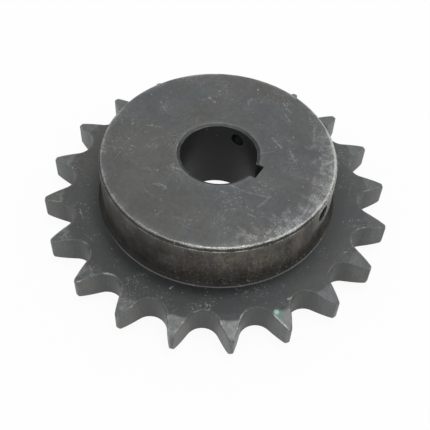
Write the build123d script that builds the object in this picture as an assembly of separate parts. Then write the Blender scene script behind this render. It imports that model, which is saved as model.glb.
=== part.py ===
from build123d import *
from math import cos, degrees, pi, radians, sin, tan
import os

# A steel roller-chain sprocket in one piece: a toothed disc with a hub on one side,
# a keyed bore and two tapped holes for set screws. Millimetres and degrees.
# The bore axis is Z. The flat back of the disc lies on z = 0 and the hub points up.
# The keyway, one tooth and one set-screw hole are centred on +X.

# Driving dimensions: the chain
pitch = 19.05
roller_diameter = 11.91
tooth_count = 20

# Driving dimensions: the teeth
seat_clearance = 0.15
seat_angle = 127
flank_radius = 60
tip_rounding = 0.45
tooth_width = 11.8
bevel_below_pitch_circle = 2.8
bevel_depth = 1.25
bevel_edge_radius = 1.2

# Driving dimensions: the hub
hub_diameter = 87.3
through_length = 32.5
rim_chamfer_width = 0.75
rim_chamfer_height = 1.35
hub_corner_radius = 1.3

# Driving dimensions: the bore and its keyway
bore_diameter = 28.575
bore_chamfer_width = 1.15
bore_chamfer_depth = 0.6
keyway_width = 6.35
keyway_depth = 2.95
keyway_corner_radius = 0.3

# Driving dimensions: the set-screw holes, as drilled for tapping
screw_hole_diameter = 5.2
screw_hole_countersink = 0.7
screw_hole_from_hub_face = 5.6
screw_hole_directions = (0, 90)

# Sizes worked out from the driving dimensions
half_tooth_turn = pi / tooth_count
pitch_radius = pitch / (2 * sin(half_tooth_turn))
tip_radius = pitch * (0.6 + 1 / tan(half_tooth_turn)) / 2
seat_radius = roller_diameter / 2 + seat_clearance
root_radius = pitch_radius - seat_radius
bevel_start_radius = pitch_radius - bevel_below_pitch_circle
hub_radius = hub_diameter / 2
bore_radius = bore_diameter / 2
keyway_floor = bore_radius + keyway_depth


def turned_blank():
    """The turned form: one half-section of disc and hub, carried round the bore axis."""
    bore_mouth_radius = bore_radius + bore_chamfer_width
    outline = Polyline(
        (bore_mouth_radius, 0),
        (bevel_start_radius, 0),
        (tip_radius, bevel_depth),
        (tip_radius, tooth_width - bevel_depth),
        (bevel_start_radius, tooth_width),
        (hub_radius, tooth_width),
        (hub_radius, through_length - rim_chamfer_height),
        (hub_radius - rim_chamfer_width, through_length),
        (bore_mouth_radius, through_length),
        (bore_radius, through_length - bore_chamfer_depth),
        (bore_radius, bore_chamfer_depth),
        close=True,
    )
    section = make_face(outline)
    bevel_edges = section.vertices().group_by(Axis.X)[-1]
    section = fillet(bevel_edges, bevel_edge_radius)
    hub_foot = section.vertices().sort_by_distance((hub_radius, tooth_width))[0]
    section = fillet(hub_foot, hub_corner_radius)
    return revolve(Plane.XZ * section, axis=Axis.Z)


def tooth_gap():
    """The gap between two teeth, centred on +X: a seat for the roller between two flanks.

    The seat is an arc about the roller's centre on the pitch circle. Each flank is an arc
    tangent to its end, bulging towards the gap, and runs on past the tip circle.
    """
    seat_end = 180 - seat_angle / 2
    to_flank_centre = seat_radius + flank_radius
    flank_centre = (
        pitch_radius + to_flank_centre * cos(radians(seat_end)),
        to_flank_centre * sin(radians(seat_end)),
    )
    flank_sweep = degrees((tip_radius - root_radius) / flank_radius)
    seat = CenterArc((pitch_radius, 0), seat_radius, seat_end, seat_angle)
    upper_flank = CenterArc(flank_centre, flank_radius, seat_end + 180, flank_sweep)
    lower_flank = mirror(upper_flank, about=Plane.XZ)
    beyond_tips = (upper_flank @ 1).X + seat_radius
    mouth = Polyline(
        upper_flank @ 1,
        (beyond_tips, (upper_flank @ 1).Y),
        (beyond_tips, (lower_flank @ 1).Y),
        lower_flank @ 1,
    )
    edges = [*seat.edges(), *upper_flank.edges(), *mouth.edges(), *lower_flank.edges()]
    return make_face(edges)


def toothed_outline():
    """The disc's outline seen along the bore: tip circle, less the gaps, tips rounded."""
    outline = Circle(tip_radius)
    gap = tooth_gap()
    gaps = [Rot(0, 0, degrees((2 * number + 1) * half_tooth_turn)) * gap
            for number in range(tooth_count)]
    outline -= gaps
    tip_corners = [corner for corner in outline.vertices()
                   if Vector(corner.X, corner.Y).length > pitch_radius]
    return fillet(tip_corners, tip_rounding)


def keyway_cutter():
    """The slot for the key: from the bore axis out to the keyway's floor, full length."""
    slot = Box(
        keyway_floor, keyway_width, through_length,
        align=(Align.MIN, Align.CENTER, Align.MIN),
    )
    floor_corners = slot.edges().filter_by(Axis.Z).group_by(Axis.X)[-1]
    return fillet(floor_corners, keyway_corner_radius)


def screw_hole_cutter():
    """A set screw's hole along +X, from the bore axis out through the hub, countersunk."""
    hole_radius = screw_hole_diameter / 2
    mouth_start = hub_radius - screw_hole_countersink
    drill = Cylinder(
        hole_radius, hub_radius + screw_hole_countersink,
        align=(Align.CENTER, Align.CENTER, Align.MIN),
    )
    countersink = Pos(0, 0, mouth_start) * Cone(
        hole_radius, hole_radius + 2 * screw_hole_countersink, 2 * screw_hole_countersink,
        align=(Align.CENTER, Align.CENTER, Align.MIN),
    )
    height = through_length - screw_hole_from_hub_face
    return Pos(0, 0, height) * Rot(0, 90, 0) * (drill + countersink)


def sprocket():
    """The finished piece: turned blank, toothed, broached for the key, drilled twice."""
    body = turned_blank() & extrude(toothed_outline(), amount=through_length)
    body -= keyway_cutter()
    for direction in screw_hole_directions:
        body -= Rot(0, 0, direction) * screw_hole_cutter()
    return body


os.makedirs("parts", exist_ok=True)
export_step(sprocket(), "parts/sprocket.step")
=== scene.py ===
"""A roller-chain sprocket in blackened steel, dressed for a small studio.

The sprocket is one closed mesh: rings of points carried round its half-section, each ring
following the toothed outline, a circle or the keyed bore, with two threaded set-screw holes
let into it. It stands for the CAD solid of the same name. Lengths are in metres.
"""

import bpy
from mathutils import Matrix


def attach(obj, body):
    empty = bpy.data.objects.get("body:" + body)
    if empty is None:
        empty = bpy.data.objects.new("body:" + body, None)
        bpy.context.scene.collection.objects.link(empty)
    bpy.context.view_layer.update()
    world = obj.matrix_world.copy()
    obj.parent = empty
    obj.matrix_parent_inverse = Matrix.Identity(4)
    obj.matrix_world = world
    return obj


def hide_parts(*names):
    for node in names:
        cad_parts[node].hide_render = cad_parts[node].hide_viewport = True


bl_info = {
    "name": "Chain sprocket",
    "version": (1, 0, 0),
    "blender": (4, 5, 0),
    "location": "3D View > Sidebar > Sprocket",
    "description": "Builds a roller-chain sprocket with a hub, its worn black finish and a studio",
    "category": "Add Mesh",
}

from math import acos, atan2, cos, hypot, pi, radians, sin, sqrt, tan, tau

import bpy
import numpy as np
from mathutils import Matrix, Vector

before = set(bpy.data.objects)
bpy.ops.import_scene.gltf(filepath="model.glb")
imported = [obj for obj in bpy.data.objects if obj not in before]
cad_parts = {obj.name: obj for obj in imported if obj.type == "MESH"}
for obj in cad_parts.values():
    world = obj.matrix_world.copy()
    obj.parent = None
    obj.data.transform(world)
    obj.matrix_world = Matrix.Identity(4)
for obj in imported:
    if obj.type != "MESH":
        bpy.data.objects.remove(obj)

MM = 0.001
NODE = "sprocket"
PIECE = "chain_sprocket"

# Steps of the grid along half a tooth, from the middle of the gap to the middle of the crown
SEAT_STEPS, FOOT_STEPS, FLANK_STEPS, TIP_STEPS, CROWN_STEPS = 7, 1, 4, 3, 1
HALF_TOOTH = SEAT_STEPS + FOOT_STEPS + FLANK_STEPS + TIP_STEPS + CROWN_STEPS
# Columns from the crown's middle to where the bevel starts
CREST = FOOT_STEPS + FLANK_STEPS + TIP_STEPS + CROWN_STEPS
# A set-screw hole opens in a window that reaches this many columns and rows from its middle
WINDOW = 9
WINDOW_LOOP = 8 * WINDOW
# The window's reach on the bore, in radii of the hole
WINDOW_SPREAD = 1.35
# Rows of faces at each end of a hole that lie on the hub's side and in the bore
LIP_ROWS = 4
# Rows of points in one turn of the thread
THREAD_ROWS = 6
# Columns of the bore's outline on half of the keyway: floor, corner and wall
KEY_FLOOR, KEY_CORNER, KEY_WALL = WINDOW, 2, 4
KEY_EDGE = KEY_FLOOR + KEY_CORNER + KEY_WALL
# Steps in the arcs that ease the upper and the lower edge of the rim's chamfer
RIM_UPPER, RIM_LOWER = 4, 2
# Rings round a worn tooth edge, down a bore mouth, and between that mouth and a window
EDGE_ROWS, MOUTH_ROWS, ROWS_BELOW = 4, 5, 3
# Faces that meet at more than this stay sharp
SHARP_ANGLE = radians(32)
# How metallic bare steel is, under its thin dull film
BARE_METAL = 0.8
WHITE = (1.0, 1.0, 1.0, 1.0)
VIEWPORT_COLOUR = (0.1, 0.1, 0.1, 1.0)

# Kinds of surface, in the order of their materials, and the kind of each stretch of rings
ZONES = ["face", "side", "tooth", "bore", "thread"]
STRETCH_ZONES = {
    "hub face": "face", "rim": "side", "hub side": "side", "foot": "side", "disc": "face",
    "tooth": "tooth", "underside": "face", "bore": "bore",
}


def length(name, description, millimetres):
    """A length property, given in millimetres and held in metres."""
    return bpy.props.FloatProperty(
        name=name, description=description, default=millimetres * MM, min=0,
        precision=5, subtype="DISTANCE", unit="LENGTH",
    )


def angle(name, description, turn):
    """An angle property, given in degrees and held in radians."""
    return bpy.props.FloatProperty(
        name=name, description=description, default=radians(turn),
        subtype="ANGLE", unit="ROTATION",
    )


def amount(name, description, value, high=1.0):
    """A plain number from nought to a highest value."""
    return bpy.props.FloatProperty(
        name=name, description=description, default=value, min=0, max=high,
        subtype="FACTOR" if high == 1 else "NONE",
    )


def colour(name, description, value):
    """A colour, in linear light."""
    return bpy.props.FloatVectorProperty(
        name=name, description=description, default=value, min=0, max=1,
        size=3, subtype="COLOR",
    )


class SprocketTeeth(bpy.types.PropertyGroup):
    """Sizes of the toothed disc."""

    count: bpy.props.IntProperty(
        name="Teeth", description="Number of teeth, a multiple of four",
        default=20, min=12, max=60, step=4,
    )
    pitch_radius: length("Pitch radius", "From the axis to the rollers' centres", 60.8870)
    tip_radius: length("Tip radius", "From the axis to the tooth tips", 65.8528)
    seat_radius: length("Seat radius", "Radius of the seat that a roller sits in", 6.105)
    seat_angle: angle("Seat angle", "Angle of the seat's arc", 127)
    flank_radius: length("Flank radius", "Radius of each tooth flank", 60)
    tip_rounding: length("Tip rounding", "Radius at the corners of the tips", 0.9)
    thickness: length("Thickness", "Thickness of the disc", 11.8)
    bevel_radius: length("Bevel start", "Where the teeth start to thin", 58.087)
    bevel_depth: length("Bevel depth", "How far the teeth thin on each face", 1.25)
    bevel_edge: length("Bevel edge", "Radius where a bevel turns into the tooth's tip", 1.2)
    edge_rounding: length("Edge rounding", "Wear on the teeth's outer edges", 0.35)


class SprocketHub(bpy.types.PropertyGroup):
    """Sizes of the hub, its bore, keyway and set-screw holes."""

    radius: length("Hub radius", "Radius of the hub", 43.65)
    length: length("Length", "From the back of the disc to the hub's face", 32.5)
    rim_width: length("Rim chamfer width", "Across the chamfer round the hub's face", 0.75)
    rim_height: length("Rim chamfer height", "Down the chamfer round the hub's face", 1.35)
    rim_rounding: length("Rim easing", "Wear on the two edges of the rim chamfer", 0.4)
    corner_radius: length("Corner radius", "Fillet between hub and disc", 1.3)
    bore_radius: length("Bore radius", "Radius of the bore", 14.2875)
    mouth_width: length("Mouth width", "Across the chamfers of the bore's mouths", 1.15)
    mouth_depth: length("Mouth depth", "Down the chamfers of the bore's mouths", 0.6)
    keyway_width: length("Keyway width", "Width of the keyway", 6.35)
    keyway_floor: length("Keyway floor", "From the axis to the keyway's floor", 17.2375)
    keyway_corner: length("Keyway corner", "Radius in the keyway's corners", 0.3)
    keyway_easing: length("Keyway easing", "Rounding at the keyway's mouth", 0.12)
    screw_height: length("Screw height", "From the disc's back to the set screws", 26.9)
    screw_radius: length("Screw hole radius", "Radius at the crests of the thread", 2.6)
    screw_sink: length("Screw sink", "Countersink of the set-screw holes", 0.7)
    thread_pitch: length("Thread pitch", "Pitch of the set screws' thread", 1.27)
    thread_depth: length("Thread depth", "Depth of the thread cut into the hole", 0.5)


class SprocketFinish(bpy.types.PropertyGroup):
    """Colours and wear of the blackened steel."""

    face: colour("Hub face", "Oxide on the hub's face", (0.060, 0.0635, 0.0645))
    plate: colour("Disc face", "Oxide on the disc's two faces", (0.045, 0.0485, 0.0490))
    # Painted shade: the colour that darkens the disc round the hub's foot and at the front, where
    # the hub shades it
    painted_shade: colour("Grime", "Dark grime on the disc by the hub", (0.0205, 0.0222, 0.0232))
    side: colour("Hub side", "Oxide on the side of the hub", (0.039, 0.0365, 0.0315))
    flank: colour("Flanks", "Oxide on the cut sides of the teeth", (0.093, 0.0985, 0.095))
    bevel: colour("Bevels", "Thinner oxide on the teeth's bevels", (0.078, 0.0865, 0.0855))
    bore: colour("Bore", "Oxide in the bore and its keyway", (0.017, 0.0182, 0.0174))
    brown: colour("Brown tint", "What tints the oxide where it turns brown", (1.0, 0.95, 0.86))
    blue: colour("Blue tint", "What tints the oxide where it turns blue", (0.89, 0.95, 1.0))
    steel: colour("Bare steel", "Steel where the oxide has worn off", (0.55, 0.545, 0.51))
    scuff: colour("Scuffs", "Pale scuffs and dust", (0.45, 0.46, 0.45))
    rust: colour("Rust", "Reddish flecks on the hub's side", (0.115, 0.075, 0.058))
    stain: colour("Stain", "A small green stain by one tooth", (0.03, 0.145, 0.10))
    bloom: colour("Bloom", "The pale crust in the green stain", (0.36, 0.48, 0.43))
    wear: amount("Edge wear", "How far the edges are worn", 0.6)
    dust: amount("Dust", "How many pale specks lie on the faces", 0.5)


class SprocketStage(bpy.types.PropertyGroup):
    """The studio round the sprocket."""

    floor: colour("Floor", "Colour of the floor", (0.86, 0.86, 0.86))
    surround: amount("Surround", "Light from all round", 0.8, 10)
    key: amount("Key light", "Power of the lamp overhead, in watts", 1.9, 100)
    turn: angle("Camera turn", "Camera's place round the axis, from the front", 29.0254)
    elevation: angle("Camera elevation", "Camera's height above the horizon", 51.7989)
    roll: angle("Camera roll", "Camera's roll", 3.1932)
    distance: length("Camera distance", "From the camera to the point it looks at", 303.962)
    lens: bpy.props.FloatProperty(
        name="Lens", description="Focal length for a 36 mm frame", default=65.9037,
        unit="CAMERA",
    )
    aim: bpy.props.FloatVectorProperty(
        name="Camera aim", description="The point that the camera looks at",
        default=(0.0037196, -0.0068309, 0.0056793), subtype="TRANSLATION", unit="LENGTH",
    )


# ---------------------------------------------------------------- outlines and sections


def half_gap(teeth, inset):
    """Half of a tooth gap, inset into the tooth, as radii and turns from the gap's middle.

    The seat is an arc about the roller's centre on the pitch circle. The flank is an arc
    about a point one seat radius and one flank radius from there, through the seat's end.
    A small arc tangent to flank and tip circle rounds the tip, and the tip circle ends it.
    An inset keeps every centre, adds itself to the seat's radius and comes off the others.
    """
    seat_end = pi - teeth.seat_angle / 2
    reach = teeth.seat_radius + teeth.flank_radius
    flank_centre = (teeth.pitch_radius + reach * cos(seat_end), reach * sin(seat_end))
    far, lean = hypot(*flank_centre), atan2(flank_centre[1], flank_centre[0])

    tip_reach = teeth.tip_radius - teeth.tip_rounding
    flank_reach = teeth.flank_radius - teeth.tip_rounding
    spread = (tip_reach**2 + far**2 - flank_reach**2) / (2 * tip_reach * far)
    tip_turn = lean - acos(spread)
    tip_centre = (tip_reach * cos(tip_turn), tip_reach * sin(tip_turn))
    flank_end = tau + atan2(
        tip_centre[1] - flank_centre[1], tip_centre[0] - flank_centre[0]
    )
    seat = teeth.seat_radius + inset
    bevel_turn = acos(
        (teeth.bevel_radius**2 - teeth.pitch_radius**2 - seat**2)
        / (2 * teeth.pitch_radius * seat)
    )
    bevel_turn = max(bevel_turn, seat_end)

    roller_centre = (teeth.pitch_radius, 0)
    arcs = (
        (roller_centre, seat, pi, bevel_turn, SEAT_STEPS),
        (roller_centre, seat, bevel_turn, seat_end, FOOT_STEPS),
        (flank_centre, teeth.flank_radius - inset, seat_end + pi, flank_end, FLANK_STEPS),
        (tip_centre, teeth.tip_rounding - inset, flank_end, tau + tip_turn, TIP_STEPS),
        ((0, 0), teeth.tip_radius - inset, tip_turn, pi / teeth.count, CROWN_STEPS),
    )
    x, y = [], []
    for number, (centre, radius, start, end, steps) in enumerate(arcs):
        turn = np.linspace(start, end, steps + 1)
        if number < len(arcs) - 1:
            turn = turn[:-1]
        x.append(centre[0] + radius * np.cos(turn))
        y.append(centre[1] + radius * np.sin(turn))
    x, y = np.concatenate(x), np.concatenate(y)
    return np.hypot(x, y), np.arctan2(y, x)


def toothed(teeth, inset):
    """Radius and turn right round the toothed outline, from the middle of a crown on +X.

    One half gap, mirrored about the gap's middle and repeated for every tooth.
    """
    radius, lean = half_gap(teeth, inset)
    half = pi / teeth.count
    tooth_radius = np.concatenate([radius[:0:-1], radius[:-1]])
    tooth_turn = half + np.concatenate([-lean[:0:-1], lean[:-1]])
    turns = np.arange(teeth.count)[:, None] * 2 * half + tooth_turn
    return np.tile(tooth_radius, teeth.count), turns.ravel()


def column_count(teeth):
    """How many columns the grid has round the axis."""
    return 2 * HALF_TOOTH * teeth.count


def even_turns(teeth):
    """Turns evenly spaced round the axis, one for each column of the grid."""
    columns = column_count(teeth)
    return np.arange(columns) * tau / columns


def bevel_ring(teeth, past_start, inset):
    """A ring that follows the start of the bevel across each tooth.

    On a tooth it lies on the circle where the bevel starts, a little past it, with its
    points spread as the outline's are. In the gaps it is the outline with an inset.
    """
    radius, turn = toothed(teeth, inset)
    walked = np.cumsum(np.hypot(
        np.diff(radius[: CREST + 1]), radius[1 : CREST + 1] * np.diff(turn[: CREST + 1])
    ))
    share = np.concatenate([[0], walked / walked[-1]])
    column = np.arange(len(turn))
    from_crown = (column + HALF_TOOTH) % (2 * HALF_TOOTH) - HALF_TOOTH
    crown_turn = (column - from_crown) * tau / len(column)
    on_tooth = np.abs(from_crown) <= CREST
    side = np.sign(from_crown) * share[np.minimum(np.abs(from_crown), CREST)]
    radius = np.where(on_tooth, teeth.bevel_radius + past_start, radius)
    return radius, np.where(on_tooth, crown_turn + side * turn[CREST], turn)


def face_height(teeth, radius):
    """How far the disc's face has dropped at a radius.

    It is nought up to the bevel's start, then the bevel's slope, and at last an arc tangent
    to the bevel and to the tip cylinder, about a point one bevel edge inside that cylinder.
    """
    slope = teeth.bevel_depth / (teeth.tip_radius - teeth.bevel_radius)
    lean = atan2(slope, 1)
    run = teeth.bevel_edge / tan(pi / 4 + lean / 2)
    middle = teeth.tip_radius - teeth.bevel_edge
    sunk = teeth.bevel_depth + run
    bevel = np.maximum(radius - teeth.bevel_radius, 0) * slope
    out = np.clip(radius - middle, 0, teeth.bevel_edge)
    arc = sunk - np.sqrt(teeth.bevel_edge**2 - out**2)
    return np.where(radius > teeth.tip_radius - run * cos(lean), arc, bevel)


def bore_outline(hub, teeth, radius, outset):
    """The keyed bore's outline: x and y, from the middle of the keyway's floor on +X.

    Floor, rounded corner and wall of the keyway, set out by a distance, then the circle.
    The circle's columns crowd a set-screw hole's window on +Y, so that it is square.
    """
    half_width = hub.keyway_width / 2 + outset
    floor = hub.keyway_floor + outset
    corner = hub.keyway_corner + outset
    corner_x, corner_y = floor - corner, half_width - corner
    floor_y = np.linspace(0, corner_y, KEY_FLOOR + 1)[:-1]
    bend = np.linspace(0, pi / 2, KEY_CORNER + 1)[:-1]
    meets = sqrt(radius**2 - half_width**2)
    wall_x = np.linspace(corner_x, meets, KEY_WALL + 1)
    x = np.concatenate([np.full(KEY_FLOOR, floor), corner_x + corner * np.cos(bend), wall_x])
    y = np.concatenate([
        floor_y, corner_y + corner * np.sin(bend), np.full(KEY_WALL + 1, half_width)
    ])
    columns = column_count(teeth)
    quarter = columns // 4
    reach = window_turn(hub)
    edge_turn = atan2(half_width, meets)
    turn = np.interp(
        np.arange(KEY_EDGE + 1, columns - KEY_EDGE),
        [KEY_EDGE, quarter - WINDOW, quarter + WINDOW, columns - KEY_EDGE],
        [edge_turn, pi / 2 - reach, pi / 2 + reach, tau - edge_turn],
    )
    x = np.concatenate([x, radius * np.cos(turn), x[:0:-1]])
    y = np.concatenate([y, radius * np.sin(turn), -y[:0:-1]])
    return x, y


def window_turn(hub):
    """Half the turn that a set-screw hole's window takes up on the bore."""
    return WINDOW_SPREAD * hub.screw_radius / hub.bore_radius


def flat_ring(x, y, height):
    """A ring of points from x, y and one height or a height for each point."""
    return np.stack([x, y, np.broadcast_to(height, x.shape)], axis=-1)


def turned_ring(radius, turn, height):
    """A ring of points from radii and turns about the axis."""
    return flat_ring(radius * np.cos(turn), radius * np.sin(turn), height)


def between(first, last, shares):
    """Rings part of the way from one ring to another, by straight lines."""
    shares = np.asarray(shares)[:, None, None]
    return list(first + (last - first) * shares)


def eased_corner(before, corner, after, easing, steps):
    """Section points of a small arc in place of a corner between two straight lines.

    The arc is tangent to both lines. Its centre is on the corner's bisector, a radius from
    each line, and the arc's points lie at even angles about it.
    """
    before, corner, after = (np.array(p, float) for p in (before, corner, after))
    back = (before - corner) / np.linalg.norm(before - corner)
    on = (after - corner) / np.linalg.norm(after - corner)
    half = acos(float(np.clip(back @ on, -1, 1))) / 2
    inward = (back + on) / np.linalg.norm(back + on)
    centre = corner + inward * easing / sin(half)
    swing = (pi / 2 - half) * np.linspace(-1, 1, steps + 1)[:, None]
    across = (on - back) / np.linalg.norm(on - back)
    return centre - easing * (np.cos(swing) * inward - np.sin(swing) * across)


# ---------------------------------------------------------------- the sprocket's grid


def mouth_ring(teeth, hub, height):
    """The ring round the outer edge of the chamfer at one of the bore's mouths."""
    radius = hub.bore_radius + hub.mouth_width
    return flat_ring(*bore_outline(hub, teeth, radius, hub.keyway_easing), height)


def hub_face_rings(teeth, hub):
    """The hub's face: straight lines from the bore's upper mouth out to the rim."""
    mouth = mouth_ring(teeth, hub, hub.length)
    radius = hub.radius - hub.rim_width - 1.2 * hub.rim_rounding
    rim = turned_ring(radius, even_turns(teeth), hub.length)
    return [mouth, *between(mouth, rim, [0.015, 0.2, 0.45, 0.72, 1])]


def rim_rings(teeth, hub):
    """The rim's chamfer: a straight slope between two arcs that ease its edges."""
    inner = (hub.radius - hub.rim_width, hub.length)
    outer = (hub.radius, hub.length - hub.rim_height)
    section = [
        *eased_corner((0, hub.length), inner, outer, hub.rim_rounding, RIM_UPPER),
        ((inner[0] + outer[0]) / 2, (inner[1] + outer[1]) / 2),
        *eased_corner(inner, outer, (hub.radius, 0), hub.rim_rounding, RIM_LOWER),
    ]
    return [turned_ring(r, even_turns(teeth), z) for r, z in section]


def hub_side_rings(teeth, hub):
    """The hub's side: circles on a cylinder, with even rows where the set-screw holes open.

    One ring lies above those rows, and the rest lie below them.
    """
    row = hub.radius * tau / column_count(teeth)
    rows = hub.screw_height + row * np.arange(WINDOW, -WINDOW - 1, -1)
    above = hub.length - hub.rim_height - 0.6 * hub.rim_rounding
    foot = teeth.thickness + hub.corner_radius
    below = foot + (rows[-1] - foot) * np.array([0.72, 0.4, 0.15, 0.03])
    return [turned_ring(hub.radius, even_turns(teeth), z) for z in (above, *rows, *below)]


def foot_rings(teeth, hub):
    """The rounded corner at the hub's foot: an arc tangent to hub and disc."""
    top = teeth.thickness
    section = eased_corner(
        (hub.radius, hub.length), (hub.radius, top), (teeth.tip_radius, top),
        hub.corner_radius, 4,
    )
    return [turned_ring(r, even_turns(teeth), z) for r, z in section]


def bevel_outlines(teeth):
    """Radii and turns of the rings from the start of the bevel out to the tooth edge.

    Three rings, close together, hold the crease where the bevel starts. The others lie at
    shares of the way from the last of them to the edge.
    """
    edge, support = teeth.edge_rounding, 0.12 * MM
    creases = [
        bevel_ring(teeth, past_start, edge + inset * MM)
        for past_start, inset in ((-support, 0.5), (0, 0.43), (support, 0.37))
    ]
    radius, turn = creases[-1]
    edge_radius, edge_turn = toothed(teeth, edge + 0.05 * MM)
    return [*creases, *(
        (radius + (edge_radius - radius) * share, turn + (edge_turn - turn) * share)
        for share in (0.4, 0.7, 0.84, 0.91, 0.96, 1)
    )]


def disc_rings(teeth, hub):
    """The disc's face: level from the hub's foot out, and then down the bevel."""
    even, outlines = even_turns(teeth), bevel_outlines(teeth)
    foot = hub.radius + hub.corner_radius
    radius, turn = outlines[0]
    level = [
        turned_ring(foot + (radius - foot) * share, even + (turn - even) * share, teeth.thickness)
        for share in (0.015, 0.25, 0.5, 0.75)
    ]
    return level + [turned_ring(r, a, teeth.thickness - face_height(teeth, r))
                    for r, a in outlines]


def tooth_rings(teeth):
    """The cut sides of the teeth, with a quarter of a circle between them and each face.

    Each ring of the quarter is inset by the rounding less its sine, and lies below the face
    by the rounding less its cosine.
    """
    quarter = []
    for turn in np.linspace(0, pi / 2, EDGE_ROWS):
        radius, lean = toothed(teeth, teeth.edge_rounding * (1 - sin(turn)))
        drop = face_height(teeth, radius) + teeth.edge_rounding * (1 - cos(turn))
        quarter.append((radius, lean, drop))
    upper = [turned_ring(r, a, teeth.thickness - drop) for r, a, drop in quarter]
    lower = [turned_ring(r, a, drop) for r, a, drop in quarter[::-1]]
    return [*upper, *between(upper[-1], lower[0], [0.014, 0.25, 0.5, 0.75, 0.986]), *lower]


def underside_rings(teeth, hub):
    """The disc's underside: up the bevel, and straight in to the bore's lower mouth."""
    bevel = [turned_ring(r, a, face_height(teeth, r)) for r, a in bevel_outlines(teeth)[::-1]]
    mouth = mouth_ring(teeth, hub, 0)
    return bevel + between(bevel[-1], mouth, [0.18, 0.38, 0.58, 0.78, 0.93, 0.99])


def bore_rings(teeth, hub):
    """The bore: its keyed outline at each height, set out down the chamfer of each mouth.

    MOUTH_ROWS rings go down each chamfer, where the keyway's edges are eased, and ROWS_BELOW
    more go up to the even rows where the set-screw holes come through.
    """
    ease, chamfer = hub.keyway_easing, hub.mouth_depth
    mouth, run = hub.bore_radius + hub.mouth_width, hub.mouth_width / chamfer
    ends = [
        (mouth, ease, 0), (mouth - 0.35 * ease * run, 0.3 * ease, 0.35 * ease),
        (mouth - ease * run, 0, ease), (mouth - hub.mouth_width / 2, 0, chamfer / 2),
        (hub.bore_radius, 0, chamfer),
    ]
    half = hub.bore_radius * sin(window_turn(hub))
    rows = hub.screw_height + np.linspace(-half, half, 2 * WINDOW + 1)
    low = chamfer + (rows[0] - chamfer) * np.array([0.02, 0.3, 0.65])
    high = hub.length - 1.35 * chamfer
    section = [
        *ends,
        *((hub.bore_radius, 0, z) for z in (*low, *rows, high)),
        *((r, out, hub.length - z) for r, out, z in ends[:0:-1]),
    ]
    return [flat_ring(*bore_outline(hub, teeth, r, out), z) for r, out, z in section]


def sprocket_rings(teeth, hub):
    """Every ring of the sprocket, round its half-section, and where each stretch starts.

    From the bore's upper mouth they cross the hub's face, go down its side, out over the
    disc, round the tooth edge, back across the disc's underside and up the bore.
    """
    stretches = {
        "hub face": hub_face_rings(teeth, hub),
        "rim": rim_rings(teeth, hub),
        "hub side": hub_side_rings(teeth, hub),
        "foot": foot_rings(teeth, hub),
        "disc": disc_rings(teeth, hub),
        "tooth": tooth_rings(teeth),
        "underside": underside_rings(teeth, hub),
        "bore": bore_rings(teeth, hub),
    }
    starts = np.cumsum([0, *map(len, stretches.values())])
    return np.concatenate(list(stretches.values())), dict(zip(stretches, starts))


def window_rows(start):
    """The middle rows of a set-screw hole's two windows, in the hub's side and the bore."""
    return start["hub side"] + 1 + WINDOW, start["bore"] + MOUTH_ROWS + ROWS_BELOW + WINDOW


def window_steps():
    """Columns and rows round a square window's border, from the middle of its first side."""
    place = (np.arange(WINDOW_LOOP) + WINDOW) % WINDOW_LOOP
    side, near = place // (2 * WINDOW), place % (2 * WINDOW) - WINDOW
    far = np.full_like(near, WINDOW)
    return np.choose(side, [far, -near, -far, near]), np.choose(side, [near, far, -near, -far])


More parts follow.
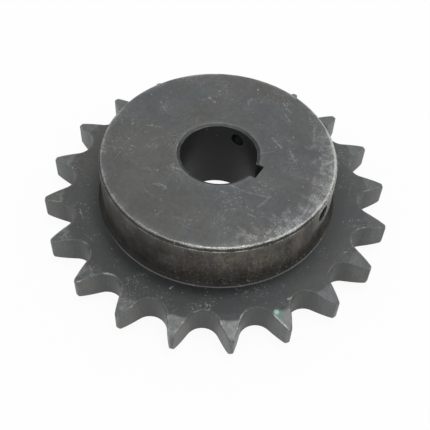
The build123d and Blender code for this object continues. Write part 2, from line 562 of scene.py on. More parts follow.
def hole_rings(hub, outer, inner, keyed):
    """The rings of one threaded hole, from the window in the hub's side to that in the bore.

    outer and inner hold the windows' borders, as distances across the hole, up it and along
    its axis. Each ring is a circle drawn out towards the border, on the surface there: hub
    and bore lie at the root of their radius squared less the distance across squared, and
    the keyway's floor is flat. The thread's radius is the hole's, plus a rounded zigzag of
    the depth over the pitch and the turn, which fades at both ends.
    """
    turn = np.arange(WINDOW_LOOP) * tau / WINDOW_LOOP
    around = np.stack([np.cos(turn), np.sin(turn)], axis=-1)

    def on_hub(across):
        """How far out the hub's side lies."""
        return np.sqrt(hub.radius**2 - across**2)

    def on_bore(across):
        """How far out the bore's wall or the keyway's floor lies."""
        if keyed:
            return np.full_like(across, hub.keyway_floor)
        return np.sqrt(hub.bore_radius**2 - across**2)

    def ring(flat, depth):
        """Points from their places across and up the hole, and their distance along it."""
        return np.concatenate([flat, np.broadcast_to(depth, len(flat))[:, None]], axis=-1)

    # The countersink's lip rises and falls with the hub's side, and a few rounds settle it
    sink_floor = hub.radius - hub.screw_sink
    lip = np.full(WINDOW_LOOP, hub.screw_radius + hub.screw_sink)
    for _ in range(4):
        lip = hub.screw_radius + on_hub(lip * np.cos(turn)) - sink_floor

    # On the hub's side: shares of the way in from the window, and mm left outside the lip
    rings, edge = [], []
    for share, extra in ((0.4, 0.3), (0.75, 0.18), (1, 0.1), (1, 0)):
        circle = around * (lip + extra * MM)[:, None]
        flat = outer[:, :2] + (circle - outer[:, :2]) * share
        rings.append(ring(flat, on_hub(flat[:, 0])))
        edge.append(np.hypot(*flat.T) - lip)
    for share in (0.12, 0.5, 1):
        radius = lip + (hub.screw_radius - lip) * share
        rings.append(ring(around * radius[:, None], sink_floor + radius - hub.screw_radius))
        edge.append(lip - radius)

    # The thread, with its crests and roots cut flat, ends a little short of the bore
    run = sink_floor - on_bore(around[:, 0] * hub.screw_radius).max() - 0.3 * MM
    steps = int(run / hub.thread_pitch * THREAD_ROWS)
    depth = np.linspace(0, run, steps + 1)[1:, None]
    fade = np.clip(np.minimum(depth, run - depth) / hub.thread_pitch, 0, 1)
    phase = depth / hub.thread_pitch + turn / tau
    zigzag = 1 - np.abs(2 * (phase % 1) - 1)
    zigzag = np.clip(zigzag * 1.3 - 0.15, 0, 1)
    radius = hub.screw_radius + hub.thread_depth * fade * zigzag
    for row in range(steps):
        rings.append(ring(around * radius[row][:, None], sink_floor - depth[row, 0]))
        edge.append(np.full(WINDOW_LOOP, 2 * MM))

    # In the bore: shares of the way out to the window, and mm outside the hole's edge
    for share, extra in ((0, 0), (0, 0.1), (0.35, 0.1), (0.7, 0.05)):
        circle = around * (hub.screw_radius + extra * MM)
        flat = circle + (inner[:, :2] - circle) * share
        rings.append(ring(flat, on_bore(flat[:, 0])))
        edge.append(np.hypot(*flat.T) - hub.screw_radius)
    return np.array(rings), np.array(edge)


def screw_hole(rings, start, hub, middle, turn):
    """One set-screw hole, round a column of the grid that lies at a turn about the axis.

    It gives the borders of its two windows as points' numbers, its own rings between them
    and its points' distances to an edge. The rings are worked out on axes across, up and
    along the hole, and are then turned back.
    """
    out = np.array([cos(turn), sin(turn), 0])
    axes = np.array([[-out[1], out[0], 0], [0, 0, 1], out])
    origin = np.array([0, 0, hub.screw_height])
    along, up = window_steps()
    columns = rings.shape[1]
    column = (middle + along) % columns
    hub_row, bore_row = window_rows(start)
    borders = (hub_row - up) * columns + column, (bore_row + up) * columns + column
    outer, inner = ((rings.reshape(-1, 3)[border] - origin) @ axes.T for border in borders)
    hole, edge = hole_rings(hub, outer, inner, keyed=middle == 0)
    return borders, hole @ axes + origin, edge


def edge_distances(rings, start):
    """For every point of the grid, its distance over the surface to the nearest worn edge.

    The distance is walked along each column from the rings that run along an edge. In the
    bore it is also walked round each ring from the keyway's two edges.
    """
    step = np.linalg.norm(np.diff(rings, axis=0, append=rings[:1]), axis=-1)
    walked = np.concatenate([np.zeros_like(step[:1]), np.cumsum(step, axis=0)])
    whole, walked = walked[-1], walked[:-1]
    rim, tooth, under, bore = (start[name] for name in ("rim", "tooth", "underside", "bore"))
    edges = [
        rim + RIM_UPPER // 2, rim + RIM_UPPER + 2 + RIM_LOWER // 2,
        tooth, tooth + 1, under - 2, under - 1,
        bore, bore + MOUTH_ROWS - 1, len(rings) - MOUTH_ROWS + 1,
    ]
    distance = np.minimum(walked, whole - walked)
    for row in edges:
        distance = np.minimum(distance, np.abs(walked - walked[row]))
    round_step = np.linalg.norm(
        np.diff(rings[bore:], axis=1, append=rings[bore:, :1]), axis=-1)
    round_walk = np.cumsum(round_step, axis=1) - round_step
    for column in (KEY_EDGE, rings.shape[1] - KEY_EDGE):
        from_edge = np.abs(round_walk - round_walk[:, column, None])
        distance[bore:] = np.minimum(distance[bore:], from_edge)
    return distance


def quads_between(numbers):
    """Faces between each row of point numbers and the next, right round the axis."""
    beside = np.roll(numbers, -1, axis=1)
    return np.stack([numbers[:-1], numbers[1:], beside[1:], beside[:-1]], axis=-1)


def build_sprocket_mesh(teeth, hub):
    """Joins the grid and the two threaded holes into one closed mesh, with its zones.

    Each point also holds its distance to the nearest worn edge in millimetres, and how far
    round the toothed outline it lies in metres.
    """
    rings, start = sprocket_rings(teeth, hub)
    rows, columns = rings.shape[:2]
    numbers = np.arange(rows * columns).reshape(rows, columns)
    quads = quads_between(np.vstack([numbers, numbers[:1]]))
    zones = np.empty((rows, columns), int)
    for name, first in start.items():
        zones[first:] = ZONES.index(STRETCH_ZONES[name])

    flank = rings[start["tooth"] + EDGE_ROWS]
    walk = np.cumsum(np.linalg.norm(np.diff(flank, axis=0, prepend=flank[:1]), axis=-1))
    points, distances = [rings.reshape(-1, 3)], [edge_distances(rings, start).ravel()]
    walks, hole_faces, hole_zones = [np.tile(walk, rows)], [], []
    closed = np.ones((rows, columns), bool)
    used = rows * columns
    for middle, turn in ((0, 0.0), (columns // 4, pi / 2)):
        for row in window_rows(start):
            cells = np.arange(middle - WINDOW, middle + WINDOW) % columns
            closed[row - WINDOW : row + WINDOW, cells] = False
        (hub_border, bore_border), hole, edge = screw_hole(rings, start, hub, middle, turn)
        own = used + np.arange(edge.size).reshape(edge.shape)
        used += edge.size
        faces = quads_between(np.vstack([hub_border, own, bore_border]))[..., [0, 3, 2, 1]]
        zone = np.full(faces.shape[:2], ZONES.index("thread"))
        zone[:LIP_ROWS], zone[-LIP_ROWS:] = ZONES.index("side"), ZONES.index("bore")
        hole_faces.append(faces.reshape(-1, 4))
        hole_zones.append(zone.ravel())
        points.append(hole.reshape(-1, 3))
        distances.append(edge.ravel())
        walks.append(np.zeros(edge.size))

    faces = np.vstack([quads[closed], *hole_faces])
    zones = np.concatenate([zones[closed], *hole_zones])
    kept, renumbered = np.unique(faces, return_inverse=True)
    mesh = bpy.data.meshes.new(NODE)
    mesh.from_pydata(np.vstack(points)[kept], [], renumbered.reshape(-1, 4))
    mesh.polygons.foreach_set("material_index", zones.astype(np.int32))
    mesh.polygons.foreach_set("use_smooth", np.ones(len(faces), bool))
    for name, values in (("edge_mm", np.concatenate(distances) / MM),
                         ("round_m", np.concatenate(walks))):
        attribute = mesh.attributes.new(name, "FLOAT", "POINT")
        attribute.data.foreach_set("value", values[kept].astype(np.float32))
    mesh.set_sharp_from_angle(angle=SHARP_ANGLE)
    if mesh.validate():
        raise RuntimeError("the sprocket's mesh had faults that Blender had to repair")
    mesh.update()
    return mesh


# ---------------------------------------------------------------- shader nodes


class Nodes:
    """Adds nodes to one tree. Each call returns the new node's output, to feed the next."""

    COLUMN_WIDTH, ROW_HEIGHT, ROW_LENGTH = 210, 230, 10

    def __init__(self, tree):
        self.tree = tree

    def node(self, kind, inputs, output=0, **settings):
        """A new node. Each input is linked to another node's output or set to a value."""
        made = self.tree.nodes.new(kind)
        row, column = divmod(len(self.tree.nodes), self.ROW_LENGTH)
        made.location = (self.COLUMN_WIDTH * column, -self.ROW_HEIGHT * row)
        for name, value in settings.items():
            setattr(made, name, value)
        for name, value in inputs.items():
            if isinstance(value, bpy.types.NodeSocket):
                self.tree.links.new(value, made.inputs[name])
            else:
                made.inputs[name].default_value = value
        return made.outputs[output]

    def place(self):
        """Each point's place on the piece, in metres."""
        return self.node("ShaderNodeTexCoord", {}, output="Object")

    def attribute(self, name):
        """A value that the mesh holds for each of its points."""
        return self.node("ShaderNodeAttribute", {}, "Fac", attribute_name=name)

    def maths(self, operation, *values, clamp=False):
        """Arithmetic on masks and numbers."""
        inputs = dict(enumerate(values))
        return self.node("ShaderNodeMath", inputs, operation=operation, use_clamp=clamp)

    def times(self, *values):
        """Several masks or numbers multiplied together."""
        whole = values[0]
        for value in values[1:]:
            whole = self.maths("MULTIPLY", whole, value)
        return whole

    def rest(self, mask):
        """What a mask leaves."""
        return self.maths("SUBTRACT", 1.0, mask)

    def centred(self, noise):
        """Noise moved so that it lies about nought."""
        return self.maths("SUBTRACT", noise, 0.5)

    def vector_maths(self, operation, *values, output=0):
        """Arithmetic on vectors."""
        inputs = dict(enumerate(values))
        return self.node("ShaderNodeVectorMath", inputs, output, operation=operation)

    def scaled(self, vector, scale):
        """A vector times a number."""
        inputs = {0: vector, "Scale": scale}
        return self.node("ShaderNodeVectorMath", inputs, operation="SCALE")

    def combine(self, x, y, z):
        """A vector from its three parts."""
        return self.node("ShaderNodeCombineXYZ", {0: x, 1: y, 2: z})

    def split(self, vector):
        """A vector's three parts."""
        parts = self.node("ShaderNodeSeparateXYZ", {0: vector}).node
        return parts.outputs[0], parts.outputs[1], parts.outputs[2]

    def noise(self, vector, scale, detail=2.0, roughness=0.5, distortion=0.0):
        """Smooth noise about a half, read at a vector."""
        return self.node("ShaderNodeTexNoise", {
            "Vector": vector, "Scale": scale, "Detail": detail, "Roughness": roughness,
            "Distortion": distortion,
        })

    def cells(self, place, scale):
        """A random flat pattern of cells: each one's point and three random values."""
        cells = self.node("ShaderNodeTexVoronoi", {"Vector": place, "Scale": scale},
                          voronoi_dimensions="2D").node
        pick = self.node("ShaderNodeSeparateColor", {0: cells.outputs["Color"]}).node
        return cells.outputs["Position"], *(pick.outputs[n] for n in range(3))

    def ramp(self, value, low, high, from_value=0.0, to_value=1.0):
        """A smooth step from one value to another as the input goes from low to high."""
        return self.node("ShaderNodeMapRange", {
            "Value": value, "From Min": low, "From Max": high,
            "To Min": from_value, "To Max": to_value,
        }, interpolation_type="SMOOTHSTEP")

    def past(self, value, edge, start, end, from_value=0.0, to_value=1.0):
        """A ramp between two distances past an edge, which are given in millimetres."""
        return self.ramp(value, edge + start * MM, edge + end * MM, from_value, to_value)

    def by(self, mask, outside, inside):
        """A value that goes from one outside a mask to another inside it."""
        return self.ramp(mask, 0.0, 1.0, outside, inside)

    def within(self, value, low, high, soft):
        """One where a value lies between two limits, fading over a soft width."""
        rise = self.ramp(value, low - soft, low + soft)
        return self.times(rise, self.ramp(value, high - soft, high + soft, 1.0, 0.0))

    def mix(self, share, first, second, blend="MIX"):
        """A mix of two colours."""
        return self.node("ShaderNodeMix", {0: share, 6: first, 7: second}, 2,
                         data_type="RGBA", blend_type=blend, clamp_factor=True)

    def toned(self, shade, tone):
        """A colour times a tone or another colour."""
        return self.mix(1.0, shade, tone, "MULTIPLY")

    def blend(self, share, first, second):
        """A mix of two values."""
        return self.node("ShaderNodeMix", {0: share, 2: first, 3: second}, 0,
                         data_type="FLOAT", clamp_factor=True)

    def effect(self, name, output, **inputs):
        """One of the shared effects, placed with its own values."""
        labelled = {key.replace("_", " ").capitalize(): inputs[key] for key in inputs}
        group = bpy.data.node_groups[name]
        return self.node("ShaderNodeGroup", labelled, output, node_tree=group)

    def one_side(self, x, y, far, near):
        """The effect of that name, towards x and y."""
        return self.effect("one_side", "Share", towards=(x, y, 0.0), far=far, near=near)


# Kinds of socket for a group, by how many numbers a default has and by an output's type
INPUT_KINDS = {3: "NodeSocketVector", 4: "NodeSocketColor"}
OUTPUT_KINDS = {"RGBA": "NodeSocketColor", "VALUE": "NodeSocketFloat"}


def effect_group(name, inputs, build):
    """Makes a shared effect: a node group with named inputs, and the outputs it builds."""
    tree = bpy.data.node_groups.new(name, "ShaderNodeTree")
    for label, value in inputs.items():
        kind = INPUT_KINDS[len(value)] if isinstance(value, tuple) else "NodeSocketFloat"
        socket = tree.interface.new_socket(label, in_out="INPUT", socket_type=kind)
        socket.default_value = value
    entry = tree.nodes.new("NodeGroupInput")
    made = build(Nodes(tree), {label: entry.outputs[label] for label in inputs})
    leave = tree.nodes.new("NodeGroupOutput")
    for label, output in made.items():
        kind = OUTPUT_KINDS[output.type]
        tree.interface.new_socket(label, in_out="OUTPUT", socket_type=kind)
        tree.links.new(output, leave.inputs[label])


def round_axis(nodes, given):
    """Where a point is about the axis: its radius, height and turn."""
    x, y, z = nodes.split(nodes.place())
    radius = nodes.vector_maths("LENGTH", nodes.combine(x, y, 0.0), output="Value")
    return {"Radius": radius, "Height": z, "Turn": nodes.maths("ARCTAN2", y, x)}


def turning_marks(nodes, given):
    """Fine lines left by turning. Noise stretched round the axis and fine across it.

    The noise reads the point's direction from the axis times Along, and its radius and
    height times Across, so the lines close on themselves with no seam.
    """
    x, y, z = nodes.split(nodes.place())
    flat = nodes.combine(x, y, 0.0)
    radius = nodes.vector_maths("LENGTH", flat, output="Value")
    lane = nodes.times(nodes.maths("MULTIPLY_ADD", z, 0.8, radius), given["Across"])
    facing = nodes.scaled(nodes.vector_maths("NORMALIZE", flat), given["Along"])
    vector = nodes.vector_maths("ADD", facing, nodes.combine(0.0, 0.0, lane))
    return {"Marks": nodes.noise(vector, 1.0, 3.0, 0.6)}


def oxide_patina(nodes, given):
    """Unevenness of the black oxide over a colour: clouds, a fine grain and a drift of tint.

    The tone runs from Low to High with the clouds. The tint drifts to Brown and to Blue, and
    Browner moves the whole drift to brown.
    """
    place, scale = nodes.place(), given["Scale"]
    broad = nodes.noise(place, scale, 4.0, 0.6, 0.8)
    small = nodes.noise(place, nodes.times(scale, 7.0), 4.0, 0.65, 0.4)
    grain = nodes.noise(place, nodes.times(scale, 45.0), 3.0, 0.7)
    clouds = nodes.maths("MULTIPLY_ADD", small, 0.5, nodes.times(broad, 0.5))
    tone = nodes.ramp(clouds, 0.34, 0.66, given["Low"], given["High"])
    tone = nodes.times(tone, nodes.ramp(grain, 0.28, 0.72, 0.86, 1.14))
    other = nodes.vector_maths("ADD", place, (0.37, 0.11, 0.23))
    tint = nodes.noise(other, nodes.times(scale, 0.9), 4.0, 0.6, 0.5)
    tint = nodes.maths("MULTIPLY_ADD", given["Browner"], 0.14, tint)
    brown = nodes.mix(nodes.ramp(tint, 0.46, 0.68), WHITE, given["Brown"])
    drift = nodes.mix(nodes.ramp(tint, 0.52, 0.36), brown, given["Blue"])
    base = nodes.toned(nodes.toned(given["Colour"], drift), tone)
    return {"Colour": base, "Clouds": clouds, "Grain": grain}


def edge_wear(nodes, given):
    """Wear along edges, from each point's distance to its nearest edge in millimetres.

    Line is bright and thin: its width wanders, and it shows in stretches. Halo fades over
    the reach and is speckled.
    """
    place, distance = nodes.place(), nodes.attribute("edge_mm")
    wander = nodes.noise(place, given["Stretch"], 3.0, 0.6)
    fine = nodes.noise(place, 2600.0, 3.0, 0.65)
    ragged = nodes.maths("ADD", nodes.times(nodes.centred(fine), given["Width"]), distance)
    width = nodes.times(given["Width"], nodes.ramp(wander, 0.36, 0.66, 0.55, 1.3))
    line = nodes.ramp(nodes.maths("DIVIDE", ragged, width), 0.3, 1.0, 1.0, 0.0)
    short = nodes.noise(place, 700.0, 3.0, 0.6)
    shown = nodes.maths("MULTIPLY_ADD", short, 0.35, nodes.times(wander, 0.65))
    shown = nodes.ramp(nodes.maths("ADD", shown, given["Amount"]), 0.92, 1.12)
    halo = nodes.maths("POWER", nodes.ramp(distance, 0.0, given["Reach"], 1.0, 0.0), 2.0)
    return {
        "Line": nodes.times(line, shown),
        "Halo": nodes.times(halo, nodes.ramp(fine, 0.38, 0.64),
                            nodes.ramp(wander, 0.34, 0.6, 0.35, 1.0)),
    }


def crumbled(nodes, given):
    """A fine broken pattern that takes pieces out of a worn line."""
    fine = nodes.noise(nodes.place(), 1900.0, 3.0, 0.7)
    return {"Share": nodes.ramp(fine, 0.38, 0.6, 0.35, 1.0)}


def pale_specks(nodes, given):
    """Small pale specks, one in some cells of a random flat pattern, of uneven size."""
    middle, chance, big, bright = nodes.cells(given["Place"], given["Scale"])
    x, y, _ = nodes.split(given["Place"])
    away = nodes.vector_maths("DISTANCE", nodes.combine(x, y, 0.0), middle, output="Value")
    size = nodes.times(given["Size"], nodes.by(big, 0.4, 1.0))
    rag = nodes.centred(nodes.noise(nodes.place(), 5000.0, 2.0))
    ragged = nodes.maths("ADD", nodes.maths("DIVIDE", away, size), rag)
    dot = nodes.ramp(ragged, 0.45, 1.0, 1.0, 0.0)
    kept = nodes.maths("LESS_THAN", chance, given["Share"])
    return {"Specks": nodes.times(dot, kept, nodes.by(bright, 0.3, 1.0))}


def hair_scratches(nodes, given):
    """Short bent scratches, one in some cells of a random flat pattern.

    Each cell's own point and values give the scratch its middle, direction and bend. A
    point's distances along and across it from the middle give the scratch its shape.
    """
    middle, spin, chance, bend = nodes.cells(given["Place"], given["Scale"])
    x, y, _ = nodes.split(nodes.vector_maths("SUBTRACT", given["Place"], middle))
    turn = nodes.times(spin, tau)
    east, north = nodes.maths("COSINE", turn), nodes.maths("SINE", turn)
    along = nodes.maths("MULTIPLY_ADD", x, east, nodes.times(y, north))
    across = nodes.maths("SUBTRACT", nodes.times(y, east), nodes.times(x, north))
    reach = nodes.maths("DIVIDE", along, given["Length"])
    bow = nodes.times(nodes.centred(bend), nodes.times(given["Length"], 0.4))
    bent = nodes.maths("MULTIPLY_ADD", nodes.times(reach, reach), bow, across)
    line = nodes.ramp(nodes.maths("ABSOLUTE", bent), 0.0, given["Width"], 1.0, 0.0)
    ends = nodes.ramp(nodes.maths("ABSOLUTE", reach), 0.2, 0.5, 1.0, 0.0)
    kept = nodes.maths("LESS_THAN", chance, given["Share"])
    faint = nodes.ramp(nodes.noise(nodes.place(), 1500.0, 3.0, 0.6), 0.36, 0.6, 0.25, 1.0)
    return {"Scratches": nodes.times(line, ends, kept, faint)}


def rubbed_haze(nodes, given):
    """Pale rubbed patches with a broken texture, and thin crooked smears in them."""
    place, scale = nodes.vector_maths("ADD", nodes.place(), given["Shift"]), given["Scale"]
    patch = nodes.noise(place, scale, 2.0, 0.5, 0.5)
    smear = nodes.noise(place, nodes.times(scale, 9.0), 5.0, 0.7, 2.2)
    crooked = nodes.noise(place, nodes.times(scale, 3.2), 2.0, 0.55, 1.6)
    gap = nodes.rest(given["Share"])
    inside = nodes.ramp(patch, gap, nodes.maths("ADD", gap, 0.16))
    ridge = nodes.ramp(nodes.maths("ABSOLUTE", nodes.centred(crooked)), 0.0, 0.022, 1.0, 0.0)
    return {
        "Haze": nodes.times(inside, nodes.ramp(smear, 0.46, 0.68)),
        "Smears": nodes.times(inside, nodes.times(ridge, nodes.ramp(smear, 0.44, 0.6))),
    }


def rubbed_stroke(nodes, given):
    """One straight stroke with ragged sides and gaps, from a start to an end in metres.

    A point's nearest place on the line between the two gives how far off the stroke it is.
    """
    place = nodes.place()
    run = nodes.vector_maths("SUBTRACT", given["End"], given["Start"])
    offset = nodes.vector_maths("SUBTRACT", place, given["Start"])
    reach = nodes.maths(
        "DIVIDE", nodes.vector_maths("DOT_PRODUCT", offset, run, output="Value"),
        nodes.vector_maths("DOT_PRODUCT", run, run, output="Value"), clamp=True)
    nearest = nodes.scaled(run, reach)
    away = nodes.vector_maths("DISTANCE", offset, nearest, output="Value")
    rag = nodes.centred(nodes.noise(place, 1600.0, 4.0, 0.65))
    share = nodes.maths("MULTIPLY_ADD", rag, 2.2, nodes.maths("DIVIDE", away, given["Width"]))
    gaps = nodes.ramp(nodes.noise(place, 700.0, 3.0, 0.6), 0.4, 0.56, 0.25, 1.0)
    return {"Stroke": nodes.times(nodes.ramp(share, 0.2, 0.9, 1.0, 0.0), gaps)}


def ragged_spot(nodes, given):
    """One spot with a ragged edge, round a centre given in metres."""
    place = nodes.place()
    away = nodes.vector_maths("DISTANCE", place, given["Centre"], output="Value")
    rag = nodes.centred(nodes.noise(place, 900.0, 4.0, 0.65))
    worn = nodes.maths("MULTIPLY_ADD", rag, nodes.times(given["Size"], 1.6), away)
    share = nodes.maths("DIVIDE", worn, given["Size"])
    return {"Spot": nodes.ramp(share, given["Core"], 1.0, 1.0, 0.0)}


def one_side(nodes, given):
    """A share that is whole towards one turn about the axis and fades to both sides."""
    x, y, _ = nodes.split(nodes.place())
    facing = nodes.vector_maths("NORMALIZE", nodes.combine(x, y, 0.0))
    towards = nodes.vector_maths("DOT_PRODUCT", facing, given["Towards"], output="Value")
    return {"Share": nodes.ramp(towards, given["Far"], given["Near"])}


NO_PLACE = (0.0, 0.0, 0.0)
EFFECTS = {
    "round_axis": ({}, round_axis),
    "turning_marks": ({"Along": 3.0, "Across": 3500.0}, turning_marks),
    "oxide_patina": (
        {"Colour": WHITE, "Brown": WHITE, "Blue": WHITE, "Scale": 60.0, "Low": 0.8,
         "High": 1.2, "Browner": 0.0},
        oxide_patina,
    ),
    "edge_wear": ({"Width": 0.3, "Reach": 2.0, "Amount": 0.5, "Stretch": 150.0}, edge_wear),
    "crumbled": ({}, crumbled),
    "pale_specks": (
        {"Place": NO_PLACE, "Scale": 500.0, "Size": 0.0002, "Share": 0.3}, pale_specks),
    "hair_scratches": (
        {"Place": NO_PLACE, "Scale": 90.0, "Length": 0.008, "Width": 0.0001, "Share": 0.5},
        hair_scratches,
    ),
    "rubbed_haze": ({"Scale": 90.0, "Share": 0.5, "Shift": NO_PLACE}, rubbed_haze),
    "rubbed_stroke": ({"Start": NO_PLACE, "End": NO_PLACE, "Width": 0.0005}, rubbed_stroke),
    "ragged_spot": ({"Centre": NO_PLACE, "Size": 0.004, "Core": 0.2}, ragged_spot),
    "one_side": ({"Towards": (1.0, 0.0, 0.0), "Far": 0.0, "Near": 1.0}, one_side),
}


# ---------------------------------------------------------------- materials


def opaque(value):
    """A colour property as a node's colour, with full alpha."""
    return (*value, 1.0)


def metres(point):
    """A point given in millimetres, in metres."""
    return tuple(value * MM for value in point)


def principled(tree):
    """The Principled shader of a new material's node tree."""
    return next(node for node in tree.nodes if node.type == "BSDF_PRINCIPLED")


def new_material(name, shade):
    """A material whose node tree a function builds round one Principled shader."""
    material = bpy.data.materials.new(name)
    material.use_nodes = True
    shade(Nodes(material.node_tree), principled(material.node_tree))
    material.diffuse_color = VIEWPORT_COLOUR
    return material


def finish_shader(nodes, shader, base, roughness, bare, height, depth=0.03 * MM, gloss=0.5):
    """Feeds the shader's sockets, with a bump of a depth in metres and one gloss all over.

    bare is where the oxide is off, and the steel shows its metal.
    """
    normal = nodes.node("ShaderNodeBump", {"Height": height, "Strength": 1.0, "Distance": depth})
    for name, value in (
        ("Base Color", base), ("Roughness", roughness),
        ("Metallic", nodes.times(bare, BARE_METAL)), ("Normal", normal),
    ):
        nodes.tree.links.new(value, shader.inputs[name])
    shader.inputs["Specular IOR Level"].default_value = gloss


def tarnished(nodes, finish, shade, scale, low, high, browner=0.0):
    """A colour under the oxide's patina, and the patina's clouds and grain."""
    base = nodes.effect(
        "oxide_patina", "Colour", colour=shade, brown=opaque(finish.brown),
        blue=opaque(finish.blue), scale=scale, low=low, high=high, browner=browner)
    return base, base.node.outputs["Clouds"], base.node.outputs["Grain"]


def add_marks(nodes, base, marks):
    """Lays marks over a colour one after another. Each is a mask, a strength and a colour."""
    for mask, strength, shade in marks:
        base = nodes.mix(nodes.times(mask, strength), base, opaque(shade))
    return base


def stroke(nodes, start, end, width):
    """One rubbed stroke, with its ends and its width in millimetres."""
    return nodes.effect("rubbed_stroke", "Stroke", start=metres(start), end=metres(end),
                        width=width * MM)


# Single rubs on the hub's face: both ends' X and Y and the width, in mm, and a strength
HUB_RUBS = (
    (23.4, 31.3, 26.5, 24.4, 0.7, 0.22), (28.9, 20.9, 32.0, 22.9, 0.35, 0.16),
    (35.8, 17.1, 37.1, 20.2, 0.9, 0.3), (11.4, -10.9, 18.1, -10.6, 0.6, 0.22),
    (18.1, -10.6, 26.0, -8.1, 0.5, 0.25), (26.0, -8.1, 24.6, -14.1, 0.45, 0.18),
    (23.2, -18.7, 27.8, -18.4, 0.4, 0.25), (12.7, 17.4, 17.7, 15.2, 0.6, 0.22),
    (-10.4, -24.0, -7.2, -23.8, 0.5, 0.28), (-12.4, -29.2, -8.5, -29.9, 0.6, 0.12),
    (-19.5, 20.4, -17.2, 24.7, 0.6, 0.14), (-11.3, -14.8, -8.3, -14.3, 0.4, 0.2),
    (7.2, 36.2, 10.1, 34.8, 0.5, 0.16), (-18.3, 22.9, -14.9, 21.9, 0.6, 0.25),
    (-32.7, 10.7, -28.3, 7.6, 0.6, 0.2), (7.2, 36.1, 12.5, 33.1, 0.5, 0.16),
    (10.8, 31.2, 14.4, 28.6, 0.6, 0.2), (-11.5, -25.0, -6.6, -24.5, 0.6, 0.16),
    (-10.9, -15.3, -7.1, -14.3, 0.6, 0.2), (21.5, 15.3, 25.0, 12.1, 0.6, 0.2),
    (23.4, -25.4, 26.3, -25.9, 0.8, 0.16), (-29.9, -2.8, -24.5, -0.3, 0.5, 0.14),
)
# Single scores on the disc and the bevels, each with its height as the fifth number
DISC_SCORES = (
    (46.9, -28.9, 48.4, -26.6, 11.8, 0.6, 0.6), (48.9, -30.9, 49.9, -32.0, 11.6, 0.8, 0.8),
    (36.3, -46.6, 38.6, -45.0, 11.7, 0.5, 0.5), (2.8, -62.7, 3.2, -59.1, 11.5, 0.35, 0.6),
    (-18.8, -60.1, -16.6, -57.2, 11.6, 0.3, 0.3), (-48.5, -34.7, -45.1, -38.4, 11.5, 0.5, 0.25),
    (-38.0, -36.3, -34.1, -39.5, 11.8, 0.5, 0.25), (-36.4, -47.9, -33.5, -49.8, 11.5, 0.5, 0.2),
    (-33.4, -50.0, -28.3, -48.3, 11.8, 0.4, 0.25), (46.1, -37.1, 49.5, -38.0, 11.4, 0.6, 0.9),
    (49.5, -38.0, 53.0, -38.9, 10.8, 0.6, 0.9), (21.5, -56.1, 21.1, -59.0, 11.3, 0.5, 0.6),
    (21.1, -59.0, 20.8, -61.8, 10.9, 0.5, 0.6), (22.2, -51.6, 26.1, -47.3, 11.7, 0.4, 0.4),
    (9.9, -47.5, 10.3, -46.3, 11.8, 0.45, 0.7),
)
# Dark streaks down the hub's side: both ends and the width, in mm, and how dark each is
STREAKS = (
    ((43.65, -0.4, 26.5), (43.65, 0.1, 14.0), 1.5, 0.75),
    ((43.4, 4.4, 27.0), (43.6, 1.6, 12.5), 1.1, 0.55),
    ((39.6, -18.4, 27.0), (39.6, -18.4, 21.0), 2.4, 0.35),
    ((-8.7, -42.8, 20.0), (-8.7, -42.8, 13.0), 2.6, 0.25),
)
# The stain by one tooth: each spot's centre and size, in mm, its strength and its colour
STAIN = (
    ((47.4, -33.1, 11.8), 1.7, 0.6, "bore"), ((46.6, -35.4, 11.8), 2.0, 0.75, "stain"),
    ((48.2, -36.3, 11.7), 1.3, 0.45, "stain"), ((45.9, -35.6, 11.8), 1.15, 0.95, "bloom"),
)


def rubs(nodes, hub):
    """All the single rubs and scores as one mask."""
    mask = 0.0
    on_hub = ((*row[:4], hub.length / MM, *row[4:]) for row in HUB_RUBS)
    for x1, y1, x2, y2, height, width, strength in (*on_hub, *DISC_SCORES):
        one = stroke(nodes, (x1, y1, height), (x2, y2, height), width)
        mask = nodes.maths("MULTIPLY_ADD", one, strength, mask)
    return mask


